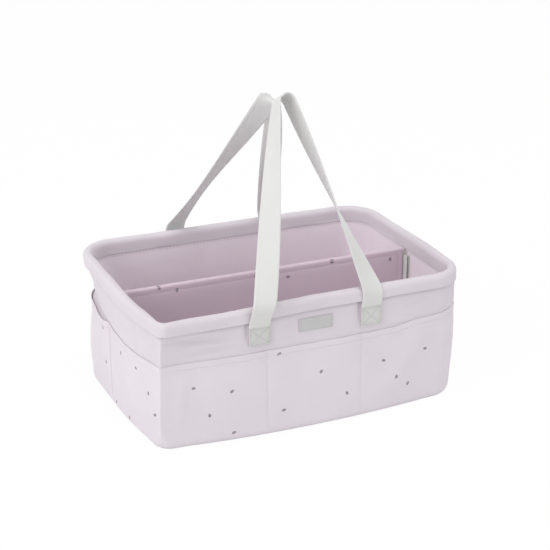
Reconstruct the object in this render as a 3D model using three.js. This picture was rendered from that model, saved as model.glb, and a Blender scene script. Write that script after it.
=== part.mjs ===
import * as THREE from 'three';

// A soft nursery caddy: padded fabric basket, outside pockets, two webbing handles and a lift-out divider.
// Millimetres, +Z up, the front faces -Y. The origin is under the middle of the base.

// Overall size, measured over the padded rim
const rimLength = 390;
const rimDepth = 270;
const rimTop = 158;
const cornerRadius = 53;

// Padded rim: a facing wrapped over a foam roll, widest where its round top begins
const rimWidth = 15.3;
const rimHeight = 20;
const rimRoundHeight = 9;
const rimFacing = 1.2;

// The wall stands back from the rim, less so above the pockets, where it swells out by the flare
const wallSetback = 6.5;
const wallFlare = 2.1;
const flareAbovePocket = 1;
const flareRise = 6;

// Wall layers, from the outside in
const canvas = 1.2;
const wallFoam = 4;
const liningCloth = 0.9;
const layerGap = 0.3;

// Base
const baseEdgeRadius = 8;
const baseBoard = 3;

// Outside pockets
const pocketCloth = 1.2;
const pocketTop = 103;
const pocketSlackStart = 18;
const openPocketSlack = 5.2;
const restingPocketSlack = 1.6;
const longPocketSeam = 57;
const pocketWrapAngle = Math.PI / 4;

// Handles
const webbingWidth = 25;
const webbing = 1.5;
const handleEndBelowRim = 2.7;
const handleEndLength = 23.5;
const handleEndThickness = 2.4;
const handleFoldRadius = 8.5;
const handleRimClearance = 0.6;
const handleMeetingGap = 0.8;

// How each handle stands: the spacing of its legs, its peak and how far the fold's inner edge drops there
const handleRise = 190;
const handleHeight = rimTop + handleRise;
const backHandleDrop = 7;
const frontHandle = { side: -1, spacing: 134, height: handleHeight, peakShift: 12, foldDrop: 12.5 };
const backHandle = { side: 1, spacing: 124, height: handleHeight - backHandleDrop, peakShift: 11, foldDrop: 5 };

// How a handle's legs twist: a quarter turn up to the fold, with a dip on the way, and on to the right end
const frontTwist = { leftPower: 1, leftDip: 0, rightPower: 2, rightEnd: Math.PI };
const backTwist = { leftPower: 0.18, leftDip: 0.6, rightPower: 1, rightEnd: 0 };

// Label on the front wall
const labelWidth = 41;
const labelHeight = 15;
const labelBelowRim = 4.7;
const labelCloth = 0.8;

// Divider
const dividerTop = 142;
const dividerBoard = 4;
const dividerCloth = 1;
const tapeWidth = 22;
const tapeLength = 105;
const tapeTop = 134;
const tape = 1.8;

// Facets of a half corner, of the rim's round top and of a handle's leg, its bend at the rim and its fold
const halfCornerSteps = 3;
const rimArcSteps = 6;
const legSteps = 18;
const rimBendSteps = 4;
const foldSteps = 10;

const lavender = { color: 0xdcd3db, roughness: 0.9, metalness: 0 };
const liningLavender = { color: 0xcdbfcc, roughness: 0.9, metalness: 0 };
const webbingWhite = { color: 0xe6e6e3, roughness: 0.75, metalness: 0 };
const wovenGrey = { color: 0xc6c6c4, roughness: 0.8, metalness: 0 };
const foamWhite = { color: 0xeceae4, roughness: 1, metalness: 0 };
const boardGrey = { color: 0xbdb5a8, roughness: 0.9, metalness: 0 };

const caddy = new THREE.Group();

function addPiece(name, geometry, finish) {
  const mesh = new THREE.Mesh(geometry, new THREE.MeshStandardMaterial(finish));
  mesh.name = name;
  caddy.add(mesh);
  return mesh;
}

// Each side of the basket runs from the middle of one round corner to the middle of the next.
// Its own frame has the middle of the side at x = 0 and the outside towards -y.
function basketSide(turn, length, distance) {
  const flat = length - 2 * cornerRadius;
  return { turn, flat, distance, reach: flat / 2 + (cornerRadius * Math.PI) / 4 };
}

const frontSide = basketSide(0, rimLength, rimDepth / 2);
const rightSide = basketSide(Math.PI / 2, rimDepth, rimLength / 2);
const backSide = basketSide(Math.PI, rimLength, rimDepth / 2);
const leftSide = basketSide(-Math.PI / 2, rimDepth, rimLength / 2);
const sides = [frontSide, rightSide, backSide, leftSide];

// The point at run `s` along a side, `inset` inside the outer line of the rim
function sidePoint(side, s, inset, z) {
  const bend = Math.max(Math.abs(s) - side.flat / 2, 0) / cornerRadius;
  const along = Math.min(Math.abs(s), side.flat / 2) + (cornerRadius - inset) * Math.sin(bend);
  const out = side.distance - cornerRadius + (cornerRadius - inset) * Math.cos(bend);
  const point = new THREE.Vector3(Math.sign(s) * along, -out, z);
  return point.applyAxisAngle(new THREE.Vector3(0, 0, 1), side.turn);
}

// Runs along a side at which facets meet: even steps round the half corners, and the given runs on the flat
function sideRuns(side, flatRuns = []) {
  const runs = [];
  for (let i = 0; i <= halfCornerSteps; i += 1) {
    const share = i / halfCornerSteps;
    runs.push(-side.reach + share * (side.reach - side.flat / 2));
  }
  for (const run of flatRuns) {
    runs.push(run);
  }
  for (let i = 0; i <= halfCornerSteps; i += 1) {
    runs.push(side.flat / 2 + (i / halfCornerSteps) * (side.reach - side.flat / 2));
  }
  return runs;
}

function evenRuns(from, to, steps) {
  const runs = [];
  for (let i = 1; i < steps; i += 1) {
    runs.push(from + ((to - from) * i) / steps);
  }
  return runs;
}

// One closed loop round the whole basket
function basketLoop(inset, z) {
  return sides.flatMap((side) => sideRuns(side).slice(1).map((s) => sidePoint(side, s, inset, z)));
}

function geometryFrom(points, triangles) {
  const geometry = new THREE.BufferGeometry().setFromPoints(points);
  geometry.setIndex(triangles);
  geometry.computeVertexNormals();
  return geometry;
}

function joinLoops(triangles, from, to, count) {
  for (let i = 0; i < count; i += 1) {
    const next = (i + 1) % count;
    triangles.push(from + i, from + next, to + next, from + i, to + next, to + i);
  }
}

// A ring round the basket: the section's points [inset, z] run up the outside, over the top and down the inside
function basketRing(section) {
  const loops = section.map(([inset, z]) => basketLoop(inset, z));
  const count = loops[0].length;
  const triangles = [];
  loops.forEach((loop, i) => joinLoops(triangles, i * count, ((i + 1) % loops.length) * count, count));
  return geometryFrom(loops.flat(), triangles);
}

// A tray: the section's points run from the underside, round the edge and back in over the floor
function basketTray(section) {
  const loops = section.map(([inset, z]) => basketLoop(inset, z));
  const count = loops[0].length;
  const last = (loops.length - 1) * count;
  const triangles = [];
  for (let i = 0; i + 1 < loops.length; i += 1) {
    joinLoops(triangles, i * count, (i + 1) * count, count);
  }
  for (let i = 1; i + 1 < count; i += 1) {
    triangles.push(0, i + 1, i, last, last + i, last + i + 1);
  }
  return geometryFrom(loops.flat(), triangles);
}

function basketPlate(inset, bottom, thickness) {
  return basketTray([[inset, bottom], [inset, bottom + thickness]]);
}

// A panel along one side: `place` gives [inset, z] for a run, a level and a face (0 outside, 1 inside)
function sidePanel(side, runs, levels, place) {
  const across = runs.length - 1;
  const geometry = new THREE.BoxGeometry(1, 1, 1, across, 1, levels);
  const position = geometry.attributes.position;
  for (let i = 0; i < position.count; i += 1) {
    const run = runs[Math.round((position.getX(i) + 0.5) * across)];
    const level = Math.round((position.getZ(i) + 0.5) * levels);
    const face = Math.round(position.getY(i) + 0.5);
    const [inset, z] = place(run, level, face);
    position.setXYZ(i, ...sidePoint(side, run, inset, z).toArray());
  }
  geometry.computeVertexNormals();
  return geometry;
}

// Where each wall layer lies
const rimWidestHeight = rimTop - rimRoundHeight;
const rimFootHeight = rimTop - rimHeight;
const rimRollFoot = (rimFootHeight + rimWidestHeight) / 2;
const wallTop = rimRollFoot - layerGap;
const wallBottom = baseEdgeRadius + layerGap;
const flareFoot = pocketTop + flareAbovePocket;
const flareHead = flareFoot + flareRise;
const upperSetback = wallSetback - wallFlare;
const baseFlat = wallSetback + baseEdgeRadius;
const foamOutside = wallSetback + canvas + layerGap;
const liningOutside = foamOutside + wallFoam + layerGap;
const liningInside = liningOutside + liningCloth;
const baseBoardBottom = canvas + layerGap;
const floorLiningBottom = baseBoardBottom + baseBoard + layerGap;
const floor = floorLiningBottom + liningCloth;

// A wall layer's face from its bottom up to the rim, `inset` being that of its lower part
function wallFace(inset, bottom) {
  return [[inset, bottom], [inset, flareFoot], [inset - wallFlare, flareHead], [inset - wallFlare, wallTop]];
}

function wallRing(outside, thickness, bottom) {
  return basketRing([...wallFace(outside, bottom), ...wallFace(outside + thickness, bottom).reverse()]);
}

function baseTray() {
  const steps = 3;
  const section = [];
  for (let i = 0; i <= steps; i += 1) {
    const angle = (i / steps) * (Math.PI / 2);
    section.push([baseFlat - baseEdgeRadius * Math.sin(angle), baseEdgeRadius * (1 - Math.cos(angle))]);
  }
  const innerRadius = baseEdgeRadius - canvas;
  for (let i = steps; i >= 0; i -= 1) {
    const angle = (i / steps) * (Math.PI / 2);
    section.push([baseFlat - innerRadius * Math.sin(angle), baseEdgeRadius - innerRadius * Math.cos(angle)]);
  }
  return basketTray(section);
}

// The rim's skin, `depth` under its outer surface, from the outer foot over the top to the inner foot
function rimSkin(depth, foot) {
  const outerFoot = upperSetback - layerGap - rimFacing;
  const innerFoot = liningInside - wallFlare + layerGap + rimFacing;
  const halfWidth = rimWidth / 2;
  const outerFlank = [];
  const innerFlank = [];
  for (const z of [rimFootHeight, rimRollFoot].filter((height) => height >= foot)) {
    const share = (z - rimFootHeight) / (rimWidestHeight - rimFootHeight);
    const pinch = 1 - Math.sin((share * Math.PI) / 2);
    outerFlank.push([outerFoot * pinch + depth, z]);
    innerFlank.unshift([rimWidth + (innerFoot - rimWidth) * pinch - depth, z]);
  }
  const arc = [];
  for (let i = 0; i <= rimArcSteps; i += 1) {
    const angle = (Math.PI * i) / rimArcSteps;
    const inset = halfWidth - (halfWidth - depth) * Math.cos(angle);
    arc.push([inset, rimWidestHeight + (rimTop - rimWidestHeight - depth) * Math.sin(angle)]);
  }
  return [...outerFlank, ...arc, ...innerFlank];
}

function rimFacingRing() {
  return basketRing([...rimSkin(0, rimFootHeight), ...rimSkin(rimFacing, rimFootHeight).reverse()]);
}

function rimRollRing() {
  return basketRing(rimSkin(rimFacing + layerGap, rimRollFoot));
}

function wallFoamPanel(side) {
  const faces = [wallFace(foamOutside, wallBottom), wallFace(foamOutside + wallFoam, wallBottom)];
  const runs = sideRuns(side);
  runs[0] += layerGap / 2;
  runs[runs.length - 1] -= layerGap / 2;
  return sidePanel(side, runs, faces[0].length - 1, (run, level, face) => faces[face][level]);
}

// A pocket panel is sewn down at its ends, at the seams and round the base.
// Between them each compartment stands off the wall by its own slack.
function pocketPanel(side, seams, slacks) {
  const wrapLevels = 2;
  const openLevels = 5;
  const compartmentSteps = 6;
  const edges = [-side.reach, ...seams, side.reach];
  const flatEdges = [-side.flat / 2, ...seams, side.flat / 2];
  const flatRuns = [];
  flatEdges.slice(1).forEach((edge, i) => {
    flatRuns.push(...evenRuns(flatEdges[i], edge, compartmentSteps));
    if (i + 2 < flatEdges.length) {
      flatRuns.push(edge);
    }
  });
  const runs = sideRuns(side, flatRuns);
  runs[0] += layerGap / 2;
  runs[runs.length - 1] -= layerGap / 2;

  function swell(run) {
    const i = edges.findIndex((edge, k) => k > 0 && run <= edge);
    const share = (2 * (run - edges[i - 1])) / (edges[i] - edges[i - 1]) - 1;
    return slacks[i - 1] * (1 - Math.abs(share) ** 3);
  }

  function place(run, level, face) {
    const stand = layerGap + (1 - face) * pocketCloth;
    if (level < wrapLevels) {
      const angle = pocketWrapAngle * (1 - level / wrapLevels);
      const radius = baseEdgeRadius + stand;
      const inset = baseFlat - radius * Math.cos(angle);
      return [inset, baseEdgeRadius - radius * Math.sin(angle)];
    }
    const share = (level - wrapLevels) / openLevels;
    const z = baseEdgeRadius + share * (pocketTop - baseEdgeRadius);
    const opened = THREE.MathUtils.smoothstep(z, pocketSlackStart, pocketTop);
    return [wallSetback - stand - swell(run) * Math.sqrt(opened), z];
  }

  return sidePanel(side, runs, wrapLevels + openLevels, place);
}

// A flat piece lying against the outside of a wall of the front or back, `inset` giving its outer face
function wallPatch(side, middle, width, bottom, height, inset, thickness) {
  const runs = [middle - width / 2, middle + width / 2];
  const place = (run, level, face) => [inset + face * thickness, bottom + level * height];
  return sidePanel(side, runs, 1, place);
}

const handleEndOutside = upperSetback - layerGap - handleEndThickness;
const handleEndTop = rimFootHeight - handleEndBelowRim;
const handleEndBottom = handleEndTop - handleEndLength;
const strapFoot = handleEndTop + layerGap;

// The middle line of a handle: up past the rim, straight to the fold, over it and down again
function handleCurves({ side, spacing, height, peakShift, foldDrop }) {
  const halfFold = Math.sqrt(webbingWidth ** 2 - foldDrop ** 2) / 2;
  const footOut = rimDepth / 2 - handleEndOutside - webbing / 2;
  const rimOut = rimDepth / 2 + handleRimClearance + webbing / 2;
  const peakOut = halfFold + handleMeetingGap / 2;
  const rimRise = rimWidestHeight - strapFoot;
  const point = (x, out, z) => new THREE.Vector3(x, side * out, z);
  const peak = point(peakShift, peakOut, height - webbing / 2);
  const lean = peak.clone().sub(point(peakShift, rimOut, rimTop)).normalize();
  const foldFoot = peak.clone().addScaledVector(lean, -handleFoldRadius);

  function leg(hand) {
    const x = (hand * spacing) / 2;
    const foot = point(x, footOut, strapFoot);
    const start = point(x, footOut, strapFoot + rimRise / 6);
    const under = point(x, rimOut, rimWidestHeight - rimRise / 2.5);
    const beside = point(x, rimOut, rimWidestHeight);
    const aboveRim = point(x, rimOut, rimTop - rimWidth / 4);
    const top = foldFoot.clone().add(new THREE.Vector3(hand * handleFoldRadius, 0, 0));
    const away = aboveRim.clone().lerp(top, rimWidth / aboveRim.distanceTo(top));
    return [[foot, start, under, beside], [beside, aboveRim, away], [away, top]];
  }

  const left = leg(-1);
  const right = leg(1).reverse().map((points) => points.reverse());
  const leftTop = left[2][1];
  const rightTop = right[0][0];
  const rise = (handleFoldRadius * 4) / 3;
  const leftTip = leftTop.clone().addScaledVector(leftTop.clone().sub(left[2][0]).normalize(), rise);
  const rightTip = rightTop.clone().addScaledVector(rightTop.clone().sub(right[0][1]).normalize(), rise);
  return [...left, [leftTop, leftTip, rightTip, rightTop], ...right];
}

// Stations along a handle: place, direction and the distance run so far
function handleStations(handle) {
  const curveTypes = [THREE.LineCurve3, THREE.QuadraticBezierCurve3, THREE.CubicBezierCurve3];
  const curveSteps = [rimBendSteps, rimBendSteps, legSteps, foldSteps, legSteps, rimBendSteps, rimBendSteps];
  const stations = [];
  handleCurves(handle).forEach((points, k) => {
    const curve = new curveTypes[points.length - 2](...points);
    for (let i = k ? 1 : 0; i <= curveSteps[k]; i += 1) {
      const share = i / curveSteps[k];
      const place = curve.getPoint(share);
      const last = stations[stations.length - 1];
      const run = last ? last.run + place.distanceTo(last.place) : 0;
      stations.push({ place, heading: curve.getTangent(share), run });
    }
  });
  return stations;
}

// The webbing lies flat on the wall at both ends and twists on its way over, so that it folds edge-on.
function handleStrap(handle, twist) {
  const stations = handleStations(handle);
  const last = stations.length - 1;
  const half = stations[last].run / 2;
  const tilt = Math.asin(handle.foldDrop / webbingWidth);
  const foldLine = new THREE.Vector3(0, -Math.cos(tilt), -handle.side * Math.sin(tilt));
  const sewnRun = rimTop - strapFoot;

  function turnAt(run) {
    const onLeft = run < half;
    const fromEnd = Math.max((onLeft ? run : 2 * half - run) - sewnRun, 0);
    const fromTop = 1 - fromEnd / (half - sewnRun);
    const quarter = Math.PI / 2;
    if (onLeft) {
      return quarter * (1 - fromTop ** twist.leftPower) - twist.leftDip * Math.sin(Math.PI * fromTop);
    }
    return quarter + (twist.rightEnd - quarter) * fromTop ** twist.rightPower;
  }

  const geometry = new THREE.BoxGeometry(1, 1, 1, 1, 1, last);
  const position = geometry.attributes.position;
  for (let i = 0; i < position.count; i += 1) {
    const { place, heading, run } = stations[Math.round((position.getZ(i) + 0.5) * last)];
    const turn = turnAt(run);
    const across = new THREE.Vector3(Math.cos(turn), 0, 0).addScaledVector(foldLine, Math.sin(turn));
    across.addScaledVector(heading, -across.dot(heading)).normalize();
    const through = new THREE.Vector3().crossVectors(heading, across);
    const vertex = place.clone();
    vertex.addScaledVector(across, position.getX(i) * webbingWidth);
    vertex.addScaledVector(through, position.getY(i) * webbing);
    position.setXYZ(i, ...vertex.toArray());
  }
  geometry.computeVertexNormals();
  return geometry;
}

// The divider spans the inside between the loop tapes on the two end walls, and lifts out clear of the rim.
const hookTapeInset = Math.max(liningInside + layerGap + tape, rimWidth) + layerGap;
const dividerHalfLength = rimLength / 2 - hookTapeInset - tape - layerGap;
const dividerHalfThickness = dividerBoard / 2 + layerGap + dividerCloth;
const dividerBottom = floor + layerGap;

function standingBox(width, depth, height, x, y, bottom) {
  return new THREE.BoxGeometry(width, depth, height).translate(x, y, bottom + height / 2);
}

function dividerSleeve() {
  const roundTop = dividerTop - dividerHalfThickness;
  const innerHalf = dividerHalfThickness - dividerCloth;
  const outline = new THREE.Shape();
  outline.moveTo(dividerHalfThickness, dividerBottom);
  outline.lineTo(dividerHalfThickness, roundTop);
  outline.absarc(0, roundTop, dividerHalfThickness, 0, Math.PI);
  outline.lineTo(-dividerHalfThickness, dividerBottom);
  outline.lineTo(-innerHalf, dividerBottom);
  outline.lineTo(-innerHalf, roundTop);
  outline.lineTo(innerHalf, roundTop);
  outline.lineTo(innerHalf, dividerBottom);
  const depth = 2 * dividerHalfLength;
  const sleeve = new THREE.ExtrudeGeometry(outline, { depth, bevelEnabled: false, curveSegments: 6 });
  sleeve.translate(0, 0, -dividerHalfLength);
  return sleeve.rotateX(Math.PI / 2).rotateZ(Math.PI / 2);
}

function buildShell() {
  addPiece('outer_wall', wallRing(wallSetback, canvas, wallBottom), lavender);
  addPiece('outer_base', baseTray(), lavender);
  addPiece('lining_wall', wallRing(liningOutside, liningCloth, floor + layerGap), liningLavender);
  addPiece('lining_base', basketPlate(liningOutside, floorLiningBottom, liningCloth), liningLavender);
  addPiece('base_board', basketPlate(baseFlat, baseBoardBottom, baseBoard), boardGrey);
  addPiece('rim_facing', rimFacingRing(), lavender);
  addPiece('rim_foam', rimRollRing(), foamWhite);
  addPiece('front_wall_foam', wallFoamPanel(frontSide), foamWhite);
  addPiece('right_wall_foam', wallFoamPanel(rightSide), foamWhite);
  addPiece('back_wall_foam', wallFoamPanel(backSide), foamWhite);
  addPiece('left_wall_foam', wallFoamPanel(leftSide), foamWhite);
}

function buildPockets() {
  const longSeams = [-longPocketSeam, longPocketSeam];
  const longSlacks = [openPocketSlack, openPocketSlack, openPocketSlack];
  const endSeams = [0];
  const leftSlacks = [restingPocketSlack, openPocketSlack];
  const rightSlacks = [openPocketSlack, restingPocketSlack];
  addPiece('front_pocket', pocketPanel(frontSide, longSeams, longSlacks), lavender);
  addPiece('back_pocket', pocketPanel(backSide, longSeams, longSlacks), lavender);
  addPiece('left_pocket', pocketPanel(leftSide, endSeams, leftSlacks), lavender);
  addPiece('right_pocket', pocketPanel(rightSide, endSeams, rightSlacks), lavender);
  const labelOutside = upperSetback - layerGap - labelCloth;
  const labelBottom = rimFootHeight - labelBelowRim - labelHeight;
  const label = wallPatch(frontSide, 0, labelWidth, labelBottom, labelHeight, labelOutside, labelCloth);
  addPiece('front_label', label, wovenGrey);
}

function buildHandles() {
  const walls = [['front', frontSide, frontHandle, 1], ['back', backSide, backHandle, -1]];
  for (const [wall, side, handle, leftward] of walls) {
    for (const [hand, sign] of [['left', -1], ['right', 1]]) {
      const middle = (leftward * sign * handle.spacing) / 2;
      const end = wallPatch(
        side, middle, webbingWidth, handleEndBottom, handleEndLength, handleEndOutside, handleEndThickness,
      );
      addPiece(`${wall}_${hand}_handle_end`, end, wovenGrey);
    }
  }
  addPiece('front_handle', handleStrap(frontHandle, frontTwist), webbingWhite);
  addPiece('back_handle', handleStrap(backHandle, backTwist), webbingWhite);
}

function buildDivider() {
  addPiece('divider_cover', dividerSleeve(), lavender);
  const boardTop = dividerTop - dividerHalfThickness - layerGap;
  const boardHeight = boardTop - dividerBottom;
  const board = standingBox(2 * dividerHalfLength, dividerBoard, boardHeight, 0, 0, dividerBottom);
  addPiece('divider_board', board, boardGrey);
  for (const [hand, sign] of [['left', -1], ['right', 1]]) {
    const hookMiddle = sign * (rimLength / 2 - hookTapeInset - tape / 2);
    const loopMiddle = sign * (rimLength / 2 - liningInside - layerGap - tape / 2);
    const tapeBottom = tapeTop - tapeLength;
    addPiece(`${hand}_hook_tape`, standingBox(tape, tapeWidth, tapeLength, hookMiddle, 0, tapeBottom), wovenGrey);
    addPiece(`${hand}_loop_tape`, standingBox(tape, tapeWidth, tapeLength, loopMiddle, 0, tapeBottom), wovenGrey);
  }
}

buildShell();
buildPockets();
buildHandles();
buildDivider();

export default caddy;
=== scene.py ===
import math

import bmesh
import bpy
from mathutils import Matrix, Vector, noise


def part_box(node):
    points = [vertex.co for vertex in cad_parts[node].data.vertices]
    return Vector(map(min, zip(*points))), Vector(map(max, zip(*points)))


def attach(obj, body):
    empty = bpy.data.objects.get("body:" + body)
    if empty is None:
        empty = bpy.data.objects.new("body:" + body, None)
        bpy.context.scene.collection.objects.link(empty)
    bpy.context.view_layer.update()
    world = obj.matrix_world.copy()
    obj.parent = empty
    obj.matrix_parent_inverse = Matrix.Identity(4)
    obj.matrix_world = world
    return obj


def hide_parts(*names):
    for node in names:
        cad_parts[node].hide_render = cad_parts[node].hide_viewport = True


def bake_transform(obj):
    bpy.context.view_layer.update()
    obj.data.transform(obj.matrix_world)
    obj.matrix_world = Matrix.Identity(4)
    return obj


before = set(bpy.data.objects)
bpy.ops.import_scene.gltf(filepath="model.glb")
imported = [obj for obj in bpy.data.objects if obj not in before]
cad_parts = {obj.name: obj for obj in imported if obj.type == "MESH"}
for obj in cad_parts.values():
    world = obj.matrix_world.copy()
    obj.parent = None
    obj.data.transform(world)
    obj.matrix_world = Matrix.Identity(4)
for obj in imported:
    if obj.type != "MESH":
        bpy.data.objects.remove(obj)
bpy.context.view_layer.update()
mm = 0.001
scene = bpy.context.scene
scene.view_settings.view_transform = "Standard"

# the camera stands where the photograph was taken from
viewpoint = {
    "azimuth": -23.63,
    "elevation": 23.17,
    "distance": 1.68656,
    "aim": (0, 0, 82.11 * mm),
    "lens": 94.17,
    "sensor": 36,
    "shift": (0.01405, 0.0748),
}


def addCamera():
    turn = math.radians(viewpoint["azimuth"])
    tilt = math.radians(viewpoint["elevation"])
    back = Vector((math.sin(turn) * math.cos(tilt), -math.cos(turn) * math.cos(tilt), math.sin(tilt)))
    data = bpy.data.cameras.new("camera")
    data.lens = viewpoint["lens"]
    data.sensor_width = viewpoint["sensor"]
    data.shift_x, data.shift_y = viewpoint["shift"]
    camera = bpy.data.objects.new("camera", data)
    camera.location = Vector(viewpoint["aim"]) + back * viewpoint["distance"]
    camera.rotation_euler = (-back).to_track_quat("-Z", "Y").to_euler()
    scene.collection.objects.link(camera)
    scene.camera = camera


addCamera()
print("camera placed")


# helpers for shapes
def ease(low, high, value):
    share = min(max((value - low) / (high - low), 0.0), 1.0)
    return share * share * (3.0 - 2.0 * share)


def hill(distance, width, height=1):  # a soft bump, so wide to each side and so high
    return height * math.exp(-((distance / width) ** 2))


def ramp(value, stops):  # straight runs between (value, result) stops
    for (fromValue, fromResult), (toValue, toResult) in zip(stops, stops[1:]):
        if value <= toValue:
            return fromResult + (toResult - fromResult) * (value - fromValue) / (toValue - fromValue)
    return stops[-1][1]


# soft lumps are set by their depth, how many go to a metre across and up, and a seed
def lumps(spot, depth, across, up, seed):
    return depth * noise.noise(Vector((spot.x * across + seed, spot.y * across, spot.z * up)))


def dents(spot, depth, across, up, seed):  # lumps that go one way only
    return (depth + lumps(spot, depth, across, up, seed)) / 2


def slanted(spot, slope):  # the place in a leaning frame, for lumps that run aslant
    return Vector((spot.x + slope * spot.z, spot.y, spot.z - slope * spot.x))


# the basket's plan is a rounded rectangle; a run goes round it from the front middle, right end first
rimLow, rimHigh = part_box("rim_facing")
ring = {"halfLength": rimHigh.x, "halfDepth": rimHigh.y, "corner": 53 * mm}
# each corner is drawn tighter than that: its radius low down and at the rim, and where it starts to change
cornerFolds = {
    (-1, -1): {"low": 1.6 * mm, "rim": 11 * mm, "from": 134 * mm},
    (1, -1): {"low": 31 * mm, "rim": 44 * mm, "from": 60 * mm},
    (1, 1): {"low": 40 * mm, "rim": 48 * mm, "from": 60 * mm},
    (-1, 1): {"low": 52 * mm, "rim": 48 * mm, "from": 60 * mm},
}
bow = {
    "belly": 4 * mm, "sides": 17 * mm, "leftEnd": 15 * mm, "rightEnd": 3 * mm,
    "baseFold": 18 * mm, "baseTo": 32 * mm,  # at the base no corner is tighter than that
    "tuck": 9 * mm, "tuckZ": 100 * mm, "tuckReach": 36 * mm, "tuckDepth": (0.15, 0.8),
}
flatX = ring["halfLength"] - ring["corner"]
flatY = ring["halfDepth"] - ring["corner"]
quarterArc = ring["corner"] * math.pi / 2
ringLength = 4 * (flatX + flatY + quarterArc)
cornerRun = flatX + quarterArc / 2
endRun = ringLength / 4


def cornerPush(angle, radius):  # how far a tighter corner stands outside the round one
    shift = ring["corner"] - radius
    lean = math.pi / 4 - abs(angle)
    along, across = math.cos(lean), math.sin(lean)
    if ring["corner"] * across <= shift * along:
        return ring["corner"] / along - ring["corner"]
    reach = math.sqrt(radius ** 2 - (shift * (along - across)) ** 2)
    return shift * (along + across) + reach - ring["corner"]


def foldRadius(corner, z):
    fold = cornerFolds[corner]
    atBase = max(fold["low"], bow["baseFold"])
    lower = atBase + (fold["low"] - atBase) * ease(0, bow["baseTo"], z)
    return lower + (fold["rim"] - lower) * ease(fold["from"], rimLow.z, z)


def bowed(point):  # the sides belly out low down, and the ends draw in towards the front corners
    low = 1 - min(max(point.z / rimLow.z, 0), 1)
    endShare = (point.x / ring["halfLength"]) ** 2
    depthShare = point.y / ring["halfDepth"]
    point.y += (bow["belly"] - bow["sides"] * endShare) * low * depthShare
    drawn = bow["leftEnd"] if point.x < 0 else bow["rightEnd"]
    point.x -= math.copysign(drawn * max(-depthShare, 0) ** 2 * endShare ** 2, point.x)
    if point.x < 0:  # the back left corner is pulled in at the height of the pockets' hem
        tuck = hill(point.z - bow["tuckZ"], bow["tuckReach"], bow["tuck"])
        point.x += tuck * ease(*bow["tuckDepth"], depthShare) * endShare
    return point


def ringPoint(run, z):  # point on the rim's widest line, and the way outwards there
    run = run % ringLength
    side, end = 1, -1
    if run > ringLength / 2:  # the left half mirrors the right one
        run, side = ringLength - run, -1
    if run > ringLength / 4:  # and the back mirrors the front
        run, end = ringLength / 2 - run, 1
    if run <= flatX:
        out = Vector((0, 1, 0))
        point = Vector((run, ring["halfDepth"], 0))
    elif run <= flatX + quarterArc:
        turn = (run - flatX) / ring["corner"]
        out = Vector((math.sin(turn), math.cos(turn), 0))
        push = cornerPush(turn - math.pi / 4, foldRadius((side, end), z))
        point = Vector((flatX, flatY, 0)) + out * (ring["corner"] + push)
    else:
        out = Vector((1, 0, 0))
        point = Vector((ring["halfLength"], flatX + quarterArc + flatY - run, 0))
    mirror = Vector((side, end, 0))
    return point * mirror, out * mirror


def onBasket(run, inset, z):
    point, out = ringPoint(run, z)
    point = point - out * inset
    point.z = z
    return bowed(point)


def toCorner(run):  # distance to the nearest corner's middle
    run = run % (ringLength / 2)
    return min(abs(run - cornerRun), abs(run - (ringLength / 2 - cornerRun)))


def fromMiddle(run, middle):  # signed distance round the ring
    return (run - middle + ringLength / 2) % ringLength - ringLength / 2


def gathered(length, columns, crowd):  # places of columns, closer together where the crowd is thick
    fine = 8 * columns  # the crowd is felt at this many places
    sums = [0.0]
    for k in range(fine):
        sums.append(sums[-1] + 1 + crowd(length * (k + 0.5) / fine))
    places = []
    k = 0
    for column in range(columns + 1):
        wanted = sums[-1] * column / columns
        while k < fine - 1 and sums[k + 1] < wanted:
            k += 1
        places.append(length * (k + (wanted - sums[k]) / (sums[k + 1] - sums[k])) / fine)
    return places


weld = 0.005 * mm  # points closer than this are one


# a flat grid gets its own size as the weave's UV map, and then each of its points goes to its place
def clothGrid(columns, rows, place, weave):
    bm = bmesh.new()
    layer = bm.loops.layers.uv.new("weave")
    bmesh.ops.create_grid(bm, x_segments=columns, y_segments=rows, size=0.5)
    for face in bm.faces:
        for loop in face.loops:
            loop[layer].uv = weave(loop.vert.co.x + 0.5, loop.vert.co.y + 0.5)
    for vert in bm.verts:
        vert.co = place(vert.co.x + 0.5, vert.co.y + 0.5)
    bmesh.ops.remove_doubles(bm, verts=bm.verts, dist=weld)
    for edge in bm.edges:
        edge.smooth = not edge.is_boundary  # the cut edge of a thick cloth shades crisply
    return bm


def addPiece(name, bm, material, body=None):
    mesh = bpy.data.meshes.new(name)
    bm.to_mesh(mesh)
    bm.free()
    mesh.polygons.foreach_set("use_smooth", [True] * len(mesh.polygons))
    mesh.materials.append(material)
    piece = bpy.data.objects.new(name, mesh)
    scene.collection.objects.link(piece)
    if body:
        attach(piece, body)
    return piece


def thicken(piece, thickness):  # the modelled face is the one that shows
    solid = piece.modifiers.new("thickness", "SOLIDIFY")
    solid.thickness = thickness
    solid.offset = -1
    solid.use_even_offset = True


def cutGrid(bm, axis, places):
    for place in places:
        spot, way = Vector((0, 0, 0)), Vector((0, 0, 0))
        spot[axis], way[axis] = place, 1
        geometry = bm.verts[:] + bm.edges[:] + bm.faces[:]
        bmesh.ops.bisect_plane(bm, geom=geometry, dist=0.2 * weld, plane_co=spot, plane_no=way)


def roundedBox(low, high, radius, segments):
    bm = bmesh.new()
    bmesh.ops.create_cube(bm, size=1)
    bmesh.ops.scale(bm, vec=high - low, verts=bm.verts)
    bmesh.ops.translate(bm, vec=(high + low) / 2, verts=bm.verts)
    bmesh.ops.bevel(bm, geom=bm.edges[:], offset=radius, offset_type="OFFSET", segments=segments, profile=0.5,
                    affect="EDGES", material=-1, clamp_overlap=True)
    return bm


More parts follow.
